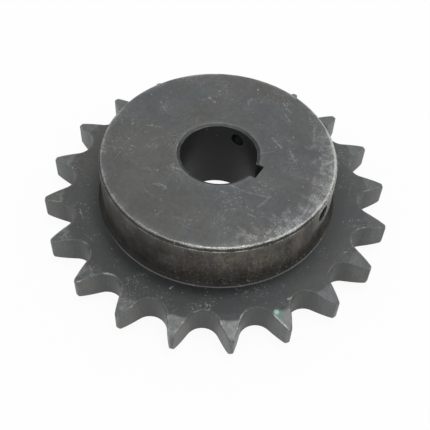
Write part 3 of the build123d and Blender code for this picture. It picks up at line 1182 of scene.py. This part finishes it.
def face_shader(scene):
    """The turned faces of disc and hub: matt oxide, scratched, rubbed and speckled."""
    teeth, hub, finish = scene.sprocket_teeth, scene.sprocket_hub, scene.sprocket_finish
    mouth, bevel = hub.bore_radius + hub.mouth_width, teeth.bevel_radius

    def shade(nodes, shader):
        place = nodes.place()
        radius = nodes.effect("round_axis", "Radius")
        on_hub = nodes.ramp(radius.node.outputs["Height"], teeth.thickness, hub.length)
        on_disc = nodes.rest(on_hub)
        marks = nodes.effect("turning_marks", "Marks", along=3.0, across=2600.0)
        worn_side = nodes.one_side(1.0, -0.05, far=0.0, near=0.9)
        brown_side = nodes.one_side(-0.65, -0.76, far=0.3, near=1.0)
        oxide = nodes.mix(on_disc, opaque(finish.face), opaque(finish.plate))
        base, clouds, grain = tarnished(nodes, finish, oxide, 75.0, 0.78, 1.24, brown_side)

        # The teeth's bevels are paler; a painted highlight makes them paler still at the front,
        # and painted shade darkens them at one side
        ragged_radius = nodes.maths("MULTIPLY_ADD", clouds, 3.0 * MM, radius)
        bevelled = nodes.times(on_disc, nodes.past(ragged_radius, bevel, 1.3, 2.4))
        front_highlight = nodes.one_side(0.629, -0.777, far=0.8, near=1.0)
        side_shade = nodes.one_side(-0.469, -0.883, far=0.75, near=1.0)
        tone = nodes.times(nodes.by(front_highlight, 1.0, 1.45), nodes.by(side_shade, 1.0, 0.7),
                           nodes.ramp(clouds, 0.36, 0.62, 0.8, 1.15))
        base = nodes.mix(bevelled, base, nodes.toned(opaque(finish.bevel), tone))

        # Painted shade on the disc round the hub's foot, and farther out at the front, where the
        # hub shades it
        foot = nodes.past(radius, hub.radius, 2.35, 11.35, 1.0, 0.0)
        ahead = nodes.one_side(0.0, -1.0, far=0.2, near=1.0)
        fore = nodes.times(ahead, nodes.past(radius, bevel, -4.1, 2.9, 1.0, 0.0), 0.85)
        painted_shade = nodes.times(nodes.maths("MAXIMUM", foot, fore), on_disc)
        base = nodes.mix(painted_shade, base, nodes.toned(
            opaque(finish.painted_shade), nodes.ramp(clouds, 0.34, 0.66, 0.85, 1.15)))

        # Worn edges: the hub's rim, the tooth tips and the bore's mouth
        rim = nodes.effect("edge_wear", "Line", width=0.72, reach=3.4, amount=0.66,
                           stretch=160.0)
        at_rim = nodes.times(on_hub, nodes.past(radius, hub.radius, -13.65, -11.65))
        rim_halo = nodes.times(rim.node.outputs["Halo"], at_rim, nodes.by(worn_side, 0.6, 1.0))
        tips = nodes.effect("edge_wear", "Line", width=0.28, reach=1.2,
                            amount=finish.wear * 0.7, stretch=190.0)
        tips_halo = nodes.times(tips.node.outputs["Halo"], on_disc)
        at_mouth = nodes.times(on_hub, nodes.past(radius, mouth, 3.5, 5.5, 1.0, 0.0))
        # A pale ring round the bore's mouth: partly wear, partly a painted highlight of the
        # chamfer's edge
        mouth_ring = nodes.times(nodes.past(radius, mouth, -0.14, 1.76, 1.0, 0.0), on_hub)

        # Frost: grains in clusters, thickest towards the rim on the worn side
        patch = nodes.noise(place, 240.0, 3.0, 0.6, 0.6)
        near_rim = nodes.maths("MULTIPLY_ADD", patch, 16.0 * MM, radius)
        clusters = nodes.ramp(nodes.noise(place, 420.0, 3.0, 0.6), 0.4, 0.6, 0.2, 1.0)
        frost_band = nodes.times(nodes.past(near_rim, hub.radius, -1.65, 5.85), at_rim, worn_side,
                                 clusters, nodes.ramp(worn_side, 0.62, 1.0, 0.06, 1.0))
        grains = nodes.ramp(nodes.noise(place, 2400.0, 3.0, 0.7), 0.42, 0.64)
        frost = nodes.times(frost_band, grains)
        bevel_frost = nodes.times(bevelled, ahead, grains, nodes.ramp(
            nodes.noise(place, 520.0, 2.0), 0.44, 0.6, 0.08, 1.0))

        # Specks, scratches and rubs
        salt_share = nodes.maths("MULTIPLY_ADD", nodes.times(fore, on_disc), 0.42, 0.05)
        salt = nodes.effect("pale_specks", "Specks", place=place, scale=560.0,
                            size=0.26 * MM, share=salt_share)
        crumbs = nodes.effect("pale_specks", "Specks", place=place, scale=210.0,
                              size=nodes.by(on_disc, 0.45 * MM, 0.3 * MM),
                              share=0.2 * finish.dust)
        hairs = nodes.effect("hair_scratches", "Scratches", place=place, scale=110.0,
                             length=7.0 * MM, width=0.4 * MM, share=0.16)
        haze = nodes.effect("rubbed_haze", "Haze", scale=85.0, share=0.5,
                            shift=(0.1, 0.4, 0.2))
        tip_rubs = nodes.effect("rubbed_haze", "Haze", scale=160.0, share=0.5,
                                shift=(0.3, 0.1, 0.6))
        tip_rubs = nodes.times(tip_rubs, on_disc, nodes.past(radius, bevel, -4.1, -0.1))
        base = add_marks(nodes, base, ((mask, strength, finish.scuff) for mask, strength in (
            (haze, 0.05), (haze.node.outputs["Smears"], 0.6), (hairs, 0.12),
            (rubs(nodes, hub), 1.0), (frost_band, 0.14), (frost, 0.75), (bevel_frost, 0.36),
            (mouth_ring, 0.06), (tip_rubs, 0.2), (salt, 0.55), (crumbs, 0.55),
            (rim_halo, 0.4), (tips_halo, 0.22),
        )))

        # Bare steel along the edges, and the stain over all
        broken = nodes.effect("crumbled", "Share")
        line = nodes.times(rim, at_rim, broken, nodes.ramp(worn_side, 0.0, 0.8, 0.45, 0.95))
        tip_wear = nodes.times(on_disc, nodes.by(ahead, 0.3, 0.75))
        line = nodes.maths("MULTIPLY_ADD", tips, tip_wear, line)
        line = nodes.maths("MULTIPLY_ADD", at_mouth, nodes.times(tips, 0.4), line)
        base = nodes.mix(line, base, opaque(finish.steel))
        for centre, size, strength, name in STAIN:
            spot = nodes.effect("ragged_spot", "Spot", centre=metres(centre), size=size * MM,
                                core=0.4)
            base = add_marks(nodes, base, ((spot, strength, getattr(finish, name)),))

        roughness = nodes.ramp(clouds, 0.3, 0.7, 0.45, 0.53)
        roughness = nodes.blend(bevelled, roughness, 0.38)
        roughness = nodes.blend(line, roughness, 0.34)
        height = nodes.maths("MULTIPLY_ADD", grain, 0.9, nodes.times(marks, 0.35))
        height = nodes.maths("MULTIPLY_ADD", hairs, -0.3, height)
        finish_shader(nodes, shader, base, roughness, line, height)

    return shade


def side_shader(scene):
    """The hub's turned side: dark brown oxide, blotched, and speckled on its worn side.

    Its foot and its chamfer are rougher, and darker with painted shade, and one end is frosted.
    """
    teeth, hub, finish = scene.sprocket_teeth, scene.sprocket_hub, scene.sprocket_finish

    def shade(nodes, shader):
        place = nodes.place()
        height_up = nodes.effect("round_axis", "Height")
        radius, turn = (height_up.node.outputs[name] for name in ("Radius", "Turn"))
        unrolled = nodes.combine(nodes.times(turn, hub.radius), height_up, 0.0)
        marks = nodes.effect("turning_marks", "Marks", along=3.0, across=3200.0)
        base, clouds, grain = tarnished(nodes, finish, opaque(finish.side), 95.0, 0.72, 1.35, 0.5)

        # Tone: blotches and a mottle drawn upwards, with painted shade that darkens the lower
        # side, the fillet at the foot and the chamfer
        upright = nodes.vector_maths("MULTIPLY", place, (1.0, 1.0, 0.4))
        blotch = nodes.noise(upright, 120.0, 4.0, 0.55, 0.5)
        mottle = nodes.noise(upright, 1100.0, 4.0, 0.65, 0.4)
        worn_side = nodes.one_side(0.98, -0.2, far=0.0, near=0.95)
        shade_towards_foot = nodes.past(nodes.maths("MULTIPLY_ADD", clouds, 5.0 * MM, height_up),
                           teeth.thickness, 2.7, 13.2, 0.62, 1.08)
        at_chamfer = nodes.past(height_up, hub.length - hub.rim_height, -0.15, 0.15)
        clear = nodes.past(height_up, teeth.thickness, 0.4, 3.4)
        tone = nodes.times(
            nodes.ramp(blotch, 0.34, 0.66, 0.68, 1.38), nodes.ramp(mottle, 0.34, 0.66, 0.78, 1.24),
            shade_towards_foot, nodes.by(clear, 0.5, 1.0), nodes.by(at_chamfer, 1.0, 0.15),
            nodes.ramp(worn_side, 0.0, 0.9, 0.92, 1.7))
        for start, end, width, dark in STREAKS:
            streak = stroke(nodes, start, end, width)
            tone = nodes.times(tone, nodes.by(streak, 1.0, 1.0 - dark))
        base = nodes.toned(base, tone)

        # Specks, scratches and frost
        salt = nodes.effect("pale_specks", "Specks", place=unrolled, scale=700.0,
                            size=0.3 * MM, share=0.7)
        salt = nodes.times(salt, nodes.ramp(worn_side, 0.0, 0.8, 0.1, 1.0))
        flecks = nodes.effect("pale_specks", "Specks", place=unrolled, scale=430.0,
                              size=0.6 * MM, share=0.8)
        flecks = nodes.times(flecks, nodes.ramp(worn_side, 0.1, 0.8))
        crumbs = nodes.effect("pale_specks", "Specks", place=unrolled, scale=300.0,
                              size=0.4 * MM, share=0.3 * finish.dust)
        hairs = nodes.effect("hair_scratches", "Scratches", place=unrolled, scale=150.0,
                             length=5.0 * MM, width=0.3 * MM, share=0.15)
        frosted_end = nodes.one_side(0.86, 0.51, far=0.74, near=0.93)
        grains = nodes.ramp(nodes.noise(place, 1400.0, 4.0, 0.7), 0.42, 0.57, 0.15, 1.0)
        frost = nodes.times(frosted_end, nodes.past(height_up, hub.length, -13.5, -8.5), grains)
        upper = nodes.past(height_up, hub.length, -0.9, -0.55)
        edge = nodes.effect("edge_wear", "Line", width=nodes.by(upper, 0.26, 0.6), reach=1.6,
                            amount=nodes.by(upper, 0.52, 0.66), stretch=160.0)
        halo = nodes.times(edge.node.outputs["Halo"], clear)
        base = add_marks(nodes, base, (
            (flecks, 0.4, finish.rust), (frost, 0.95, finish.scuff),
            (hairs, 0.12, finish.scuff), (salt, 0.5, finish.scuff), (crumbs, 0.5, finish.scuff),
            (halo, 0.14, finish.scuff),
        ))

        # Bare steel on the chamfer's two edges, and a painted highlight: a faint pale line round
        # the front of the foot
        shine = nodes.blend(upper, nodes.ramp(worn_side, 0.0, 0.8, 0.36, 0.8),
                            nodes.ramp(worn_side, 0.0, 0.8, 0.45, 0.95))
        broken = nodes.effect("crumbled", "Share")
        line = nodes.times(edge, clear, nodes.times(broken, shine))
        base = nodes.mix(line, base, opaque(finish.steel))
        ahead = nodes.one_side(0.559, -0.829, far=0.3, near=0.75)
        foot_highlight = nodes.times(ahead, nodes.past(radius, hub.radius, 0.95, 1.07, 0.0, 0.3))
        base = nodes.mix(foot_highlight, base, opaque(finish.scuff))

        roughness = nodes.blend(clear, 0.85, nodes.ramp(clouds, 0.3, 0.7, 0.32, 0.4))
        roughness = nodes.blend(at_chamfer, roughness, 0.7)
        roughness = nodes.blend(line, roughness, 0.34)
        height = nodes.maths("MULTIPLY_ADD", grain, 0.8, nodes.times(marks, 0.6))
        finish_shader(nodes, shader, base, roughness, line, height)

    return shade


def tooth_shader(scene):
    """The cut sides of the teeth: darker in the seats with painted shade, and with streaks down
    the crowns.
    """
    teeth, finish = scene.sprocket_teeth, scene.sprocket_finish

    def shade(nodes, shader):
        height_up = nodes.effect("round_axis", "Height")
        radius = height_up.node.outputs["Radius"]
        unrolled = nodes.combine(nodes.attribute("round_m"), height_up, 0.0)
        stretched = nodes.vector_maths("MULTIPLY", nodes.place(), (1.0, 1.0, 0.08))
        marks = nodes.noise(stretched, 1500.0, 3.0, 0.6)
        base, clouds, grain = tarnished(nodes, finish, opaque(finish.flank), 110.0, 0.8, 1.2)
        # Painted shade: the flanks darken down into the seats between the teeth
        seat = nodes.past(nodes.maths("MULTIPLY_ADD", clouds, 2.0 * MM, radius),
                          teeth.tip_radius, -9.85, -1.35, 0.38, 1.04)
        crown = nodes.past(radius, teeth.tip_radius, -0.85, -0.35)
        tone = nodes.blend(crown, nodes.ramp(marks, 0.3, 0.7, 0.88, 1.12),
                           nodes.ramp(marks, 0.38, 0.62, 0.7, 1.6))
        base = nodes.toned(base, nodes.times(seat, tone))
        edge = nodes.effect("edge_wear", "Line", width=0.26, reach=1.0,
                            amount=finish.wear * 0.7, stretch=190.0)
        specks = nodes.effect("pale_specks", "Specks", place=unrolled, scale=420.0,
                              size=0.34 * MM, share=0.16 * finish.dust)
        hairs = nodes.effect("hair_scratches", "Scratches", place=unrolled, scale=200.0,
                             length=4.0 * MM, width=0.3 * MM, share=0.15)
        base = add_marks(nodes, base, (
            (hairs, 0.12, finish.scuff), (specks, 0.5, finish.scuff),
            (edge.node.outputs["Halo"], 0.14, finish.scuff),
        ))
        ahead = nodes.one_side(0.0, -1.0, far=0.2, near=1.0)
        line = nodes.times(edge, nodes.by(ahead, 0.3, 0.7))
        base = nodes.mix(line, base, opaque(finish.steel))
        roughness = nodes.blend(line, nodes.ramp(clouds, 0.3, 0.7, 0.4, 0.5), 0.36)
        height = nodes.maths("MULTIPLY_ADD", grain, 0.6, marks)
        finish_shader(nodes, shader, base, roughness, line, height)

    return shade


def bore_shader(scene):
    """The bore, its chamfers and the keyway: dark, with turning marks.

    The chamfers are worn to the disc's colour, with a painted highlight that makes them paler on
    the far side, and the keyway is darker with painted shade, and rougher.
    """
    hub, finish = scene.sprocket_hub, scene.sprocket_finish

    def shade(nodes, shader):
        marks = nodes.effect("turning_marks", "Marks", along=4.0, across=3600.0)
        base, clouds, grain = tarnished(nodes, finish, opaque(finish.bore), 120.0, 0.75, 1.3)
        height_up = nodes.effect("round_axis", "Height")
        radius, turn = (height_up.node.outputs[name] for name in ("Radius", "Turn"))
        in_bore = nodes.within(height_up, hub.mouth_depth, hub.length - hub.mouth_depth,
                               0.05 * MM)
        on_chamfer = nodes.rest(in_bore)
        # Painted highlight: the chamfers paler on their far side; the rest of their pale colour is
        # wear
        away = nodes.one_side(-0.695, 0.719, far=0.3, near=0.85)
        outward = nodes.past(radius, hub.bore_radius, 0.11, 1.31, nodes.by(away, 0.3, 0.8), 0.95)
        worn = nodes.toned(opaque(finish.plate), nodes.by(away, 1.0, 1.75))
        base = nodes.mix(nodes.times(on_chamfer, outward), base, worn)
        edge = nodes.effect("edge_wear", "Line", width=0.3, reach=1.0, amount=0.5,
                            stretch=300.0)
        line = nodes.times(edge, on_chamfer, 0.2)
        base = nodes.mix(line, base, opaque(finish.steel))
        # Painted shade: the keyway darkened
        in_keyway = nodes.times(nodes.past(radius, hub.bore_radius, 0.21, 1.01), in_bore)
        base = nodes.toned(base, nodes.by(in_keyway, 1.0, 0.4))
        unrolled = nodes.combine(nodes.times(turn, hub.bore_radius), height_up, 0.0)
        specks = nodes.effect("pale_specks", "Specks", place=unrolled, scale=260.0,
                              size=0.36 * MM, share=0.2 * finish.dust)
        base = add_marks(nodes, base, ((specks, 0.3, finish.scuff),))
        roughness = nodes.blend(in_keyway, nodes.ramp(clouds, 0.3, 0.7, 0.42, 0.52), 0.8)
        height = nodes.maths("MULTIPLY_ADD", grain, 0.3, marks)
        finish_shader(nodes, shader, base, roughness, line, height, gloss=0.22)

    return shade


def thread_shader(scene):
    """The tapped threads: the bore's oxide, darkened as painted shade down the holes, with crests
    worn paler.
    """
    finish = scene.sprocket_finish

    def shade(nodes, shader):
        # Painted shade: the bore's colour taken darker, for the shade down the holes
        base, _, grain = tarnished(nodes, finish, opaque(finish.bore), 200.0, 0.6, 1.0)
        edge = nodes.effect("edge_wear", "Line", width=0.2, reach=0.8, amount=0.4,
                            stretch=300.0)
        line = nodes.times(edge, 0.3)
        base = nodes.mix(line, base, opaque(finish.steel))
        roughness = nodes.ramp(nodes.noise(nodes.place(), 900.0), 0.3, 0.7, 0.3, 0.45)
        finish_shader(nodes, shader, base, roughness, line, grain, depth=0.02 * MM, gloss=0.15)

    return shade


SHADERS = {
    "face": ("blackened_faces", face_shader),
    "side": ("blackened_hub_side", side_shader),
    "tooth": ("blackened_flanks", tooth_shader),
    "bore": ("blackened_bore", bore_shader),
    "thread": ("blackened_threads", thread_shader),
}


# ---------------------------------------------------------------- the studio


# The floor is a plain disc, and most of what is seen of it is its own white
FLOOR_RADIUS, FLOOR_CORNERS = 3, 64
FLOOR_GLOW, FLOOR_ROUGHNESS = 0.93, 0.9
# The lamp overhead: its place with the camera in front, what it faces, and its size
LAMP_PLACE, LAMP_AIM, LAMP_SIZE = (0.11, 0.17, 0.88), (0, 0, 0.015), 0.22


def camera_matrix(stage):
    """The camera's place and turn.

    It looks at its aim from a distance, at its turn round Z and its elevation, and rolls
    about its own line of sight.
    """
    turned = (
        Matrix.Rotation(stage.turn, 4, "Z")
        @ Matrix.Rotation(pi / 2 - stage.elevation, 4, "X")
        @ Matrix.Rotation(stage.roll, 4, "Z")
    )
    back = turned @ Vector((0, 0, stage.distance))
    return Matrix.Translation(Vector(stage.aim) + back) @ turned


def floor_material(stage):
    """A plain pale floor: white to the eye and in reflections, but for soft shadows."""
    material = bpy.data.materials.new("studio_floor")
    material.use_nodes = True
    tree = material.node_tree
    nodes, shader = Nodes(tree), principled(tree)
    shader.inputs["Base Color"].default_value = opaque(stage.floor)
    shader.inputs["Roughness"].default_value = FLOOR_ROUGHNESS
    shader.inputs["Specular IOR Level"].default_value = 0.0
    glow = nodes.node("ShaderNodeEmission", {"Color": WHITE, "Strength": 1.0})
    share = nodes.times(seen_or_reflected(nodes), FLOOR_GLOW)
    mixed = nodes.node("ShaderNodeMixShader", {0: share, 1: shader.outputs[0], 2: glow})
    output = next(node for node in tree.nodes if node.type == "OUTPUT_MATERIAL")
    tree.links.new(mixed, output.inputs["Surface"])
    return material


def seen_or_reflected(nodes):
    """One for rays from the camera or off gloss or glass, and nought for the rest."""
    path = nodes.tree.nodes.new("ShaderNodeLightPath")
    seen = nodes.maths("ADD", path.outputs["Is Camera Ray"], path.outputs["Is Glossy Ray"])
    return nodes.maths("ADD", seen, path.outputs["Is Transmission Ray"], clamp=True)


def studio_world(stage):
    """A white surround, with its own strength for the light that it throws."""
    world = bpy.data.worlds.new("studio_world")
    world.use_nodes = True
    nodes = Nodes(world.node_tree)
    strength = nodes.blend(seen_or_reflected(nodes), stage.surround, 1.0)
    background = next(node for node in world.node_tree.nodes if node.type == "BACKGROUND")
    background.inputs["Color"].default_value = WHITE
    world.node_tree.links.new(strength, background.inputs["Strength"])
    return world


def studio_lamp(name, place, aim, size, power):
    """A round soft lamp that faces a point."""
    lamp = bpy.data.lights.new(name, "AREA")
    lamp.shape = "DISK"
    lamp.size = size
    lamp.energy = power
    piece = bpy.data.objects.new(name, lamp)
    piece.location = place
    piece.rotation_euler = (Vector(aim) - Vector(place)).to_track_quat("-Z", "Y").to_euler()
    bpy.context.scene.collection.objects.link(piece)


# ---------------------------------------------------------------- operators and panel


class SPROCKET_OT_body(bpy.types.Operator):
    """Build the sprocket's mesh, in place of the CAD solid"""

    bl_idname = "sprocket.body"
    bl_label = "Build the sprocket"

    def execute(self, context):
        scene = context.scene
        if scene.sprocket_teeth.count % 4:
            raise ValueError("the number of teeth has to be a multiple of four")
        mesh = build_sprocket_mesh(scene.sprocket_teeth, scene.sprocket_hub)
        piece = bpy.data.objects.new(PIECE, mesh)
        scene.collection.objects.link(piece)
        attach(piece, "root")
        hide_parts(NODE)
        return {"FINISHED"}


class SPROCKET_OT_finish(bpy.types.Operator):
    """Give the sprocket its worn black finish, one material for each kind of surface"""

    bl_idname = "sprocket.finish"
    bl_label = "Blacken and wear the sprocket"

    def execute(self, context):
        piece = bpy.data.objects.get(PIECE)
        if piece is None:
            raise RuntimeError("build the sprocket before its finish")
        for name, (inputs, build) in EFFECTS.items():
            effect_group(name, inputs, build)
        for zone in ZONES:
            name, shader = SHADERS[zone]
            piece.data.materials.append(new_material(name, shader(context.scene)))
        return {"FINISHED"}


class SPROCKET_OT_stage(bpy.types.Operator):
    """Set up the floor, the surround, the lamps and the camera"""

    bl_idname = "sprocket.stage"
    bl_label = "Set up the studio"

    def execute(self, context):
        scene = context.scene
        stage = scene.sprocket_stage
        mesh = bpy.data.meshes.new("studio_floor")
        turn = np.arange(FLOOR_CORNERS) * tau / FLOOR_CORNERS
        points = turned_ring(FLOOR_RADIUS, turn, 0.0)
        mesh.from_pydata(points, [], [range(FLOOR_CORNERS)])
        floor = bpy.data.objects.new("studio_floor", mesh)
        floor.data.materials.append(floor_material(stage))
        scene.collection.objects.link(floor)

        scene.world = studio_world(stage)
        place = Matrix.Rotation(stage.turn, 3, "Z") @ Vector(LAMP_PLACE)
        studio_lamp("lamp_overhead", place, LAMP_AIM, LAMP_SIZE, stage.key)

        camera = bpy.data.cameras.new("studio_camera")
        camera.lens = stage.lens
        camera.sensor_width = 36
        camera.clip_start = 0.01
        viewer = bpy.data.objects.new("studio_camera", camera)
        scene.collection.objects.link(viewer)
        viewer.matrix_world = camera_matrix(stage)
        scene.camera = viewer
        scene.view_settings.view_transform = "Standard"
        return {"FINISHED"}


class SPROCKET_PT_panel(bpy.types.Panel):
    """The sprocket's operators and settings, in the sidebar"""

    bl_idname = "SPROCKET_PT_panel"
    bl_label = "Chain sprocket"
    bl_space_type = "VIEW_3D"
    bl_region_type = "UI"
    bl_category = "Sprocket"

    def draw(self, context):
        for operator, settings in PARTS:
            box = self.layout.box()
            box.operator(operator.bl_idname)
            for name in settings:
                group = getattr(context.scene, name)
                for setting in type(group).__annotations__:
                    box.prop(group, setting)


SETTINGS = {
    "sprocket_teeth": SprocketTeeth,
    "sprocket_hub": SprocketHub,
    "sprocket_finish": SprocketFinish,
    "sprocket_stage": SprocketStage,
}
PARTS = (
    (SPROCKET_OT_body, ("sprocket_teeth", "sprocket_hub")),
    (SPROCKET_OT_finish, ("sprocket_finish",)),
    (SPROCKET_OT_stage, ("sprocket_stage",)),
)
CLASSES = (*SETTINGS.values(), *(operator for operator, _ in PARTS), SPROCKET_PT_panel)


def register():
    """Registers the classes and hangs the settings on the scene."""
    for kind in CLASSES:
        bpy.utils.register_class(kind)
    for name, kind in SETTINGS.items():
        setattr(bpy.types.Scene, name, bpy.props.PointerProperty(type=kind))


def unregister():
    """Takes the settings off the scene and removes the classes."""
    for name in SETTINGS:
        delattr(bpy.types.Scene, name)
    for kind in reversed(CLASSES):
        bpy.utils.unregister_class(kind)


def main():
    """Builds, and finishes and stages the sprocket."""
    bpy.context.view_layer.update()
    register()
    bpy.ops.sprocket.body()
    bpy.ops.sprocket.finish()
    bpy.ops.sprocket.stage()


if __name__ == "__main__":
    main()
